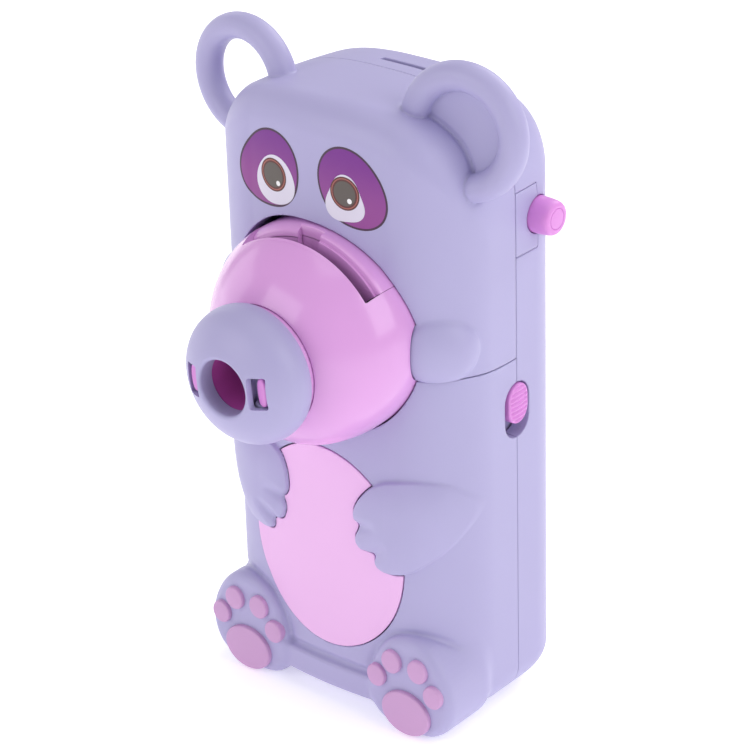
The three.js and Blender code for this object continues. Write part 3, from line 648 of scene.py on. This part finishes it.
def globe_edge(x, z):
    return ell_sdf(x, z, 0, GLOBE_Z, GLOBE_R, GLOBE_H)


def switch_edge(y, z):
    k = SW_H / 2 - SW_W / 2
    return np.hypot(y - SW_Y, np.maximum(np.abs(z - SW_Z) - k, 0)) - SW_W / 2


def inward(depth):
    return lambda P, N: -N * depth


def head_gap(x, z):
    ang = np.degrees(np.arctan2(x, z - GLOBE_Z))
    return 0.4 + 1.2 * np.exp(-((ang + 30) / 25) ** 2)


def head_rule(P, N):
    d = -N * 2.0
    near = globe_edge(P[:, 0], P[:, 2]) < 2.2
    d[near] = (0, 6.0, 0)
    return d


V, T = nets(head_field, (-57, -8.6, 100.0), (57, 25.2, 192.5), FINE)
V, T = clip(V, T, lambda x, y, z: SEAM_Y - GAP - y)
V, T = clip(V, T, lambda x, y, z: z - neck(y) - 0.2)
V, T = clip(V, T, lambda x, y, z: np.where(y < 12, np.maximum(globe_edge(x, z) - head_gap(x, z), 0.35 - cheek(x, y, z)), 1.0))
V, T = lips(V, T, head_rule)
put(mesh_object("head_case", V, T, LILAC), "housing", "lilac_shell", "head_front_shell", "left_ear", "right_ear")


def body_fast(X, Y, Z):
    if X.ndim == 3:
        x2, z2 = X[:, 0, :], Z[:, 0, :]
        return body_field(X, Y, Z, arm_relief(x2, z2)[:, None, :], poly_sdf(np.abs(x2), z2, FOOT_S)[:, None, :])
    return body_field(X, Y, Z)


def belly_sdf(x, z):
    return ell_sdf(x, z, 0, *BELLY)


def body_rule(P, N):
    d = -N * 2.0
    near = globe_edge(P[:, 0], P[:, 2]) < 1.2
    d[near] = (0, 6.0, 0)
    sw = (P[:, 0] > 36) & (np.abs(switch_edge(P[:, 1], P[:, 2])) < 0.3)
    d[sw] = (-4.4, 0, 0)
    return d


V, T = nets(body_fast, (-47, -12.5, -1.2), (47, 25.2, 112.0), FINE)
V, T = clip(V, T, lambda x, y, z: SEAM_Y - GAP - y)
V, T = clip(V, T, lambda x, y, z: neck(y) - 0.2 - z)
V, T = clip(V, T, lambda x, y, z: np.where(y < 12, globe_edge(x, z) - 0.4, 1.0))
V, T = clip(V, T, lambda x, y, z: np.where(y < 4, np.maximum(belly_sdf(x, z) - 0.16, -arm_sdf(x, z)), 1.0))
V, T = clip(V, T, lambda x, y, z: np.where(x > 36, switch_edge(y, z), 1.0))
V, T = lips(V, T, body_rule)
put(mesh_object("body_case", V, T, LILAC), "housing", "lilac_shell", "body_front_shell")


def back_rule(P, N):
    d = -N * 2.0
    sw = (P[:, 0] > 36) & (np.abs(switch_edge(P[:, 1], P[:, 2])) < 0.3)
    d[sw] = (-4.4, 0, 0)
    for x, z in SCREWS:
        d[(P[:, 1] > 40) & (np.abs(np.hypot(P[:, 0] - x, P[:, 2] - z) - 3.1) < 0.2)] = (0, -8.5, 0)
    return d


V, T = nets(envelope, (-44, 20.0, -0.6), (44, 47.5, 180.5), FINE)
V, T = clip(V, T, lambda x, y, z: y - SEAM_Y - GAP)
V, T = clip(V, T, lambda x, y, z: np.where(x > 36, switch_edge(y, z), 1.0))
V, T = clip(V, T, lambda x, y, z: np.where(x > 36, rbox2(y, z, PLATE[0] - 3, PLATE[1] + 0.12, PLATE[2] - 0.12, PLATE[3] + 0.12, 0.2), 1.0))
V, T = clip(V, T, lambda x, y, z: np.where(x > 36, np.hypot(y - BUTTON_Y, z - BUTTON_Z) - 5.3, 1.0))
V, T = clip(V, T, lambda x, y, z: np.where(z > 165, rbox2(x, y, -6.8, 12.5, 28.9, 31.0, 0.6), 1.0))
V, T = clip(V, T, lambda x, y, z: np.where(y > 40, rbox2(x, z, -26.4, 26.4, 11.8, 74.9, 0.8), 1.0))
for sx, sz in SCREWS:
    V, T = clip(V, T, lambda x, y, z, sx=sx, sz=sz: np.where(y > 40, np.hypot(x - sx, z - sz) - 3.1, 1.0))
V, T = lips(V, T, back_rule)
put(mesh_object("back_case", V, T, LILAC), "housing", "lilac_shell", "back_shell")

# the small plate under the push button
V, T = nets(envelope, (38, 21.0, 130.0), (44, 36.0, 156.0), 0.4)
V, T = clip(V, T, lambda x, y, z: -rbox2(y, z, PLATE[0] + 0.2, PLATE[1] - 0.12, PLATE[2] + 0.12, PLATE[3] - 0.12, 0.2))
V, T = clip(V, T, lambda x, y, z: np.hypot(y - BUTTON_Y, z - BUTTON_Z) - 5.3)
V, T = lips(V, T, inward(1.6))
put(mesh_object("plate_by_button", V, T, LILAC), "housing", "lilac_shell", "button_plate")

# belly plate
V, T = nets(lambda x, y, z: envelope(x, y, z) - 0.25, (-28, -10.5, 16.0), (28, 0.0, 81.0), 0.5)
V, T = clip(V, T, lambda x, y, z: np.where(y < -2, np.minimum(-belly_sdf(x, z) - 0.18, arm_sdf(x, z) - 0.28), -1.0))
V, T = lips(V, T, inward(1.8))
put(mesh_object("belly", V, T, BELLYM), "housing", "pink_belly", "belly_plate")

# toe and heel pads
pads = []
for s in (1, -1):
    for i, (x, z, a, b) in enumerate(TOES):
        t = np.linspace(0, 2 * math.pi, 48, endpoint=False)
        pads.append(slab(np.stack([s * x + a * np.cos(t), z + b * np.sin(t)], 1), SOLE_Y - 1.35, SOLE_Y + 0.8, 0.55, 4))
put(mesh_object("paw_pads", *merge(pads), PADM, angle=60), "housing", "pink_control")

# ------------------------------------------------------------------ domed slide housing
prof = []
for i in range(41):
    a = i / 40 * 0.995
    prof.append((GLOBE_R * math.cos(a), FRONT_Y - GLOBE_B * math.sin(a)))
outer = [(GLOBE_R, y) for y in np.linspace(-1.5, FRONT_Y, 8)[:-1]] + prof
inner = [((GLOBE_R - 1.9) * math.cos(a), FRONT_Y - (GLOBE_B - 1.9) * math.sin(a)) for a in np.linspace(0.985, 0, 24)]
V, T = turned(outer + [(17.25, outer[-1][1])] + inner + [(GLOBE_R - 1.9, -1.5)], 192, closed=True)


def slot_zone(x, y, z):
    """Positive outside the wedge that is cut from the dome (undistorted frame)."""
    ang = np.abs(np.arctan2(x, z - AXIS_Z) - (SLOT_L + SLOT_R) / 2)
    r = np.hypot(x, z - AXIS_Z)
    return np.maximum(r * np.sin(np.clip(ang - (SLOT_R - SLOT_L) / 2, -1.5, 1.5)), SLOT_FRONT_Y - y)


V, T = clip(V, T, slot_zone)
V = droop(V)
V, T = clip(V, T, lambda x, y, z: cheek(x, y, z) - 0.35)


def dome_rule(P, N):
    d = -N * 1.8
    return d


V, T = lips(V, T, dome_rule, 0.2)
put(mesh_object("dome", V, T, GLOSS, angle=48), "housing", "pink_gloss", "snout_globe")


def band(profile, a0, a1, seg=60):
    V, T = turned(profile, seg, a0, a1, closed=True)
    return droop(V), T


def surf_r(y):
    return GLOBE_R * math.sqrt(max(0.0, 1 - ((FRONT_Y - y) / GLOBE_B) ** 2)) if y < FRONT_Y else GLOBE_R


AL, A = SLOT_L + 0.004, SLOT_R - 0.004
N0, N1 = math.radians(-5.0), math.radians(10.0)
rim_r = [(surf_r(y), y) for y in np.linspace(-1.5, SLOT_BACK_Y + 0.35, 12)]
rim_r += [(surf_r(SLOT_BACK_Y) - 0.12, SLOT_BACK_Y + 0.1), (surf_r(SLOT_BACK_Y) - 0.4, SLOT_BACK_Y), (28.0, SLOT_BACK_Y), (28.0, -1.5)]
rim_n = [(surf_r(y), y) for y in np.linspace(-1.5, -9.0, 10)] + [(surf_r(-9.2) - 0.12, -9.2), (surf_r(-9.3) - 0.35, -9.3), (28.0, -9.3), (28.0, -1.5)]
rim_l = [(GLOBE_R, -1.5), (GLOBE_R, -4.0), (GLOBE_R, FRONT_Y), (31.45, -7.1), (31.1, -8.2), (30.6, -9.4), (30.0, -10.4), (29.6, -10.85), (29.3, -11.0), (28.0, -11.0), (28.0, -1.5)]
walls = [band(rim_l, AL, N0, 60), band(rim_n, N0, N1, 20), band(rim_r, N1, A, 60)]
walls.append(band([(28.2, -9.4), (28.2, SLOT_BACK_Y), (22.0, SLOT_BACK_Y), (22.0, -9.4)], AL, N0, 40))
walls.append(band([(29.4, -9.4), (29.4, SLOT_BACK_Y - 0.3), (29.2, SLOT_BACK_Y - 0.5), (20.0, SLOT_BACK_Y - 0.5), (20.0, -9.4)], N1, A, 40))
walls.append(band([(28.2, -8.6), (28.2, -9.3), (20.0, -9.3), (20.0, -8.6)], N0, N1, 12))
walls.append(band([(23.5, -9.2), (23.5, SLOT_BACK_Y + 0.1), (12.0, SLOT_BACK_Y + 0.1), (12.0, -9.2)], -math.pi * 0.999, math.pi * 0.999, 120))
Vw, Tw = merge(walls)
o = mesh_object("slot_walls", Vw, Tw, GLOSS, angle=40)
put(o, "housing", "pink_gloss", "slide_gate")

# ------------------------------------------------------------------ muzzle
MUZ_OUT = [(18.35, -31.4), (18.75, -32.6), (18.95, -34.2), (18.8, -36.2), (17.95, -38.8), (16.1, -41.3), (13.4, -43.3), (10.9, -44.6), (8.95, -45.3)]
outer = refine(MUZ_OUT, 6).tolist()
tip = [(8.5, -45.36), (8.1, -45.25), (7.8, -44.95), (7.7, -44.5), (7.7, -42.5), (7.7, -40.6)]
back = [(9.2, -40.6), (9.2, -42.4), (12.0, -42.2), (15.2, -39.8), (17.2, -36.2), (17.25, -31.4)]
V, T = turned(outer + tip + back, 192, closed=True)


TURN = math.radians(5.4)


def window(x, y, z):
    xr = x * math.cos(TURN) + (z - AXIS_Z) * math.sin(TURN)
    zr = -x * math.sin(TURN) + (z - AXIS_Z) * math.cos(TURN)
    w = rbox2(np.abs(xr), zr, 8.7, 13.4, -4.4, 4.4, 0.7)
    return np.where(y < -37.5, w, 1.0)


V, T = clip(V, T, window)
V, T = lips(V, T, lambda P, N: np.tile(np.array([[0, 2.0, 0]]), (len(P), 1)), 0.2)
put(mesh_object("muzzle", V, T, LILAC, angle=42), "focus_barrel", "lilac_shell", "muzzle_cap")

tube = [(14.9, -18.5), (14.9, -35.2), (8.9, -40.3), (7.9, -40.3), (7.6, -27.0), (8.9, -27.0), (9.4, -37.0), (13.3, -33.6), (13.3, -18.5)]
parts = [turned(tube, 96, closed=True)]
for s in (1, -1):
    x0, x1 = sorted((s * 9.9, s * 13.0))
    hook = chaikin([[x0, -4.0], [x1, -4.0], [x1, 4.0], [x0, 4.0]], 3)
    hook = np.stack([hook[:, 0] * math.cos(TURN) - hook[:, 1] * math.sin(TURN),
                     hook[:, 0] * math.sin(TURN) + hook[:, 1] * math.cos(TURN) + AXIS_Z], 1)
    parts.append(slab(hook, -42.9, -34.5, 0.6, 4))
# the tube material is partly the tube's own magenta and partly painted shade for the bore
put(mesh_object("inner_tube", *merge([parts[0]]), TUBE_MAGENTA_SHADED, angle=40), "focus_barrel", "magenta_tube", "focus_tube")
put(mesh_object("hooks", *merge(parts[1:]), CONTROL, angle=50), "focus_barrel", "pink_control")

# ------------------------------------------------------------------ push button and switch
bp = [(5.0, 36.0), (5.0, 43.0), (4.95, 44.5), (4.8, 46.2), (4.6, 47.1), (4.3, 47.6), (3.85, 47.86), (3.3, 47.9), (3.0, 47.86), (2.85, 47.62),
      (2.7, 47.86), (2.4, 47.9), (0.0, 47.9)]
V, T = turned(bp, 96, z=0.0)
V = np.stack([V[:, 1], V[:, 0] + BUTTON_Y, V[:, 2] + BUTTON_Z], 1)
T = T[:, ::-1] if np.dot(np.cross(V[T[5, 1]] - V[T[5, 0]], V[T[5, 2]] - V[T[5, 0]]), V[T[5, 0]] - [V[T[5, 0]][0], BUTTON_Y, BUTTON_Z]) < 0 else T
fl, ft = turned([(5.7, 35.75), (5.7, 36.9), (4.9, 36.9)], 64, z=0.0)
fl = np.stack([fl[:, 1], fl[:, 0] + BUTTON_Y, fl[:, 2] + BUTTON_Z], 1)
put(mesh_object("button", *merge([(V, T), (fl, ft)]), CONTROL, angle=50), "push_button", "pink_control", "push_button")


def knob(x, y, z):
    k = 5.8 - 4.1
    d2 = np.hypot(y - SW_Y, np.maximum(np.abs(z - (SW_Z + 2.0)) - k, 0)) - 4.1
    top = 42.95 - 0.02 * (y - SW_Y) ** 2 - 0.008 * (z - SW_Z - 2.0) ** 2
    ph = (z - (SW_Z + 2.0)) / 1.35
    rib = 0.22 * (np.cos(ph * 2 * np.pi) - 1) * sstep(-0.3, -1.0, d2)
    q0, q1 = d2 + 0.5, x - (top + rib) + 0.5
    return np.minimum(np.maximum(q0, q1), 0) + np.hypot(np.maximum(q0, 0), np.maximum(q1, 0)) - 0.5


V, T = nets(knob, (38.4, 18.0, 85.0), (43.8, 29.6, 100.0), 0.22)
put(mesh_object("knob", V, T, CONTROL), "switch_knob", "pink_control", "switch_knob")

# ------------------------------------------------------------------ printed eyes
def face_y(x, z):
    y = np.full(x.shape, -8.0)
    for _ in range(30):
        e = envelope(x, y, z)
        y = y + np.clip(e, -0.5, 0.5)
    return y


def decal(name, cx, cz, radius, lift, mat, rings=14, seg=96):
    t = np.linspace(0, 2 * math.pi, seg, endpoint=False)
    r = radius(t)
    P = [(cx, cz)]
    for k in range(1, rings + 1):
        for i in range(seg):
            P.append((cx + r[i] * math.cos(t[i]) * k / rings, cz + r[i] * math.sin(t[i]) * k / rings))
    P = np.array(P)
    y = face_y(P[:, 0], P[:, 1]) - lift
    V = np.stack([P[:, 0], y, P[:, 1]], 1)
    T = []
    for i in range(seg):
        T.append((0, 1 + i, 1 + (i + 1) % seg))
    for k in range(rings - 1):
        for i in range(seg):
            a, b = 1 + k * seg + i, 1 + k * seg + (i + 1) % seg
            T += [(a, a + seg, b + seg), (a, b + seg, b)]
    return put(mesh_object(name, V, np.array(T), mat), "housing", "lilac_shell")


def four(c):
    return lambda t: c[0] + sum(c[2 * k - 1] * np.cos(k * t) + c[2 * k] * np.sin(k * t) for k in (1, 2, 3))


INK = plastic("ink_line", (74, 48, 74), 0.5)
PATCH = plastic("ink_patch", (150, 70, 150), 0.45, grad=("Z", 0.150, 0.168, (118, 32, 140)))
EYE_WHITE = plastic("ink_white", (226, 220, 238), 0.4)
RING = plastic("ink_ring", (96, 52, 52), 0.45)
RING2 = plastic("ink_ring_red", (172, 96, 88), 0.45)
IRIS = plastic("ink_iris", (96, 88, 84), 0.45)
DOT = plastic("ink_dot", (252, 250, 252), 0.35)
PR = [10.74, 0.23, 2.16, -0.1, -0.89, 0.31, -0.28]
PL = [10.97, 0.0, 1.45, 0.04, -0.7, 0.35, -0.35]
WR = [6.1, -0.32, 0.2, -0.27, 0.15, 0.05, -0.71]
WL = [6.8, 0.43, -0.01, 0.04, -0.16, -0.04, -0.27]
for s, tag, pc, pco, wc, wco, ic, hc in (
        (1, "r", (13.0, 155.0), PR, (11.3, 153.5), WR, (11.1, 155.7), (12.6, 153.9)),
        (-1, "l", (15.0, 155.0), PL, (12.2, 153.6), WL, (13.2, 155.1), (11.5, 153.1))):
    def rad(co, off=0.0, s=s):
        f = four(co)
        return lambda t: f(t if s > 0 else math.pi - t) + off
    const = lambda r: (lambda t: np.full(t.shape, r))
    hs = hc[0] * s
    decal("eye_line_" + tag, s * pc[0], pc[1], rad(pco), 0.03, INK)
    decal("eye_patch_" + tag, s * pc[0], pc[1], rad(pco, -0.6), 0.06, PATCH)
    decal("eye_white_" + tag, s * wc[0], wc[1], rad(wco, 0.1), 0.09, EYE_WHITE)
    decal("eye_ring_" + tag, s * ic[0], ic[1], const(4.6), 0.12, RING)
    decal("eye_ring2_" + tag, s * ic[0], ic[1], const(4.2), 0.14, RING2)
    decal("eye_ring3_" + tag, s * ic[0], ic[1], const(3.9), 0.16, RING)
    decal("eye_iris_" + tag, s * ic[0], ic[1], const(3.4), 0.18, IRIS)
    decal("eye_dot_" + tag, hs, hc[1], const(0.72), 0.20, DOT, 3, 32)

# ------------------------------------------------------------------ softer edges on carried-over nodes
for name in ("battery_door", "rear_foot_left", "rear_foot_right"):
    b = NODES[name].modifiers.new("edge", "BEVEL")
    b.width = 0.0003
    b.segments = 2
    b.limit_method = "ANGLE"
    b.angle_limit = math.radians(35)

# ------------------------------------------------------------------ floor, light and camera
me = bpy.data.meshes.new("floor")
me.from_pydata([(-6, -6, 0), (6, -6, 0), (6, 6, 0), (-6, 6, 0)], [], [(0, 1, 2, 3)])
floor = bpy.data.objects.new("floor", me)
floor.location.z = -0.0002
bpy.context.scene.collection.objects.link(floor)
FLOORM = plastic("floor_white", (254, 254, 254), 0.9, dark=0.998, spec=0.1, bump=0.0)
FLOORM.node_tree.nodes["Principled BSDF"].inputs["Emission Color"].default_value = (1, 1, 1, 1)
FLOORM.node_tree.nodes["Principled BSDF"].inputs["Emission Strength"].default_value = 0.35
me.materials.append(FLOORM)


def area(name, loc, look, size, power, color=(1, 1, 1)):
    l = bpy.data.lights.new(name, "AREA")
    l.shape = "RECTANGLE"
    l.size, l.size_y = size
    l.energy = power
    l.color = color
    o = bpy.data.objects.new(name, l)
    o.location = loc
    d = Vector(look) - Vector(loc)
    o.rotation_euler = d.to_track_quat("-Z", "Y").to_euler()
    bpy.context.scene.collection.objects.link(o)
    return o


area("key_right", (0.75, 0.05, 0.55), (0, 0, 0.09), (0.5, 0.7), 2.45)
area("fill_front", (-0.35, -0.9, 0.55), (0, 0, 0.09), (0.7, 0.6), 2.7)
area("rim_left", (-0.75, 0.4, 0.35), (0, 0, 0.09), (0.4, 0.8), 0.8)
area("left", (-0.9, -0.15, 0.2), (0, 0, 0.09), (0.5, 0.7), 1.0)
area("top", (0.05, 0.05, 1.0), (0, 0, 0.1), (0.7, 0.7), 1.65)
area("back_top", (0.1, 0.75, 0.7), (0, 0, 0.09), (0.8, 0.5), 4.0)
w = bpy.data.worlds.new("studio")
bpy.context.scene.world = w
w.use_nodes = True
w.node_tree.nodes["Background"].inputs[0].default_value = (1.0, 1.0, 1.0, 1)
w.node_tree.nodes["Background"].inputs[1].default_value = 0.41

cam = bpy.data.cameras.new("camera")
cam.sensor_width = 36.0
cam.lens = 2918.37 / 750 * 36.0
cam.clip_start = 0.01
cam.dof.use_dof = False
co = bpy.data.objects.new("camera", cam)
az, el, roll = math.radians(40.2088), math.radians(26.1666), math.radians(1.7258)
back = Vector((math.sin(az) * math.cos(el), -math.cos(az) * math.cos(el), math.sin(el)))
right = Vector((math.cos(az), math.sin(az), 0))
up = back.cross(right)
r2 = right * math.cos(roll) - up * math.sin(roll)
u2 = right * math.sin(roll) + up * math.cos(roll)
R = Matrix((r2, u2, back))
t = Vector((-11.365, -87.144, -818.673))
pos = -(R.transposed() @ t) + Vector((0, -6.3, 3.3))
M = R.transposed().to_4x4()
M.translation = pos / 1000
co.matrix_world = M
bpy.context.scene.collection.objects.link(co)
bpy.context.scene.camera = co
bpy.context.scene.view_settings.view_transform = "Standard"
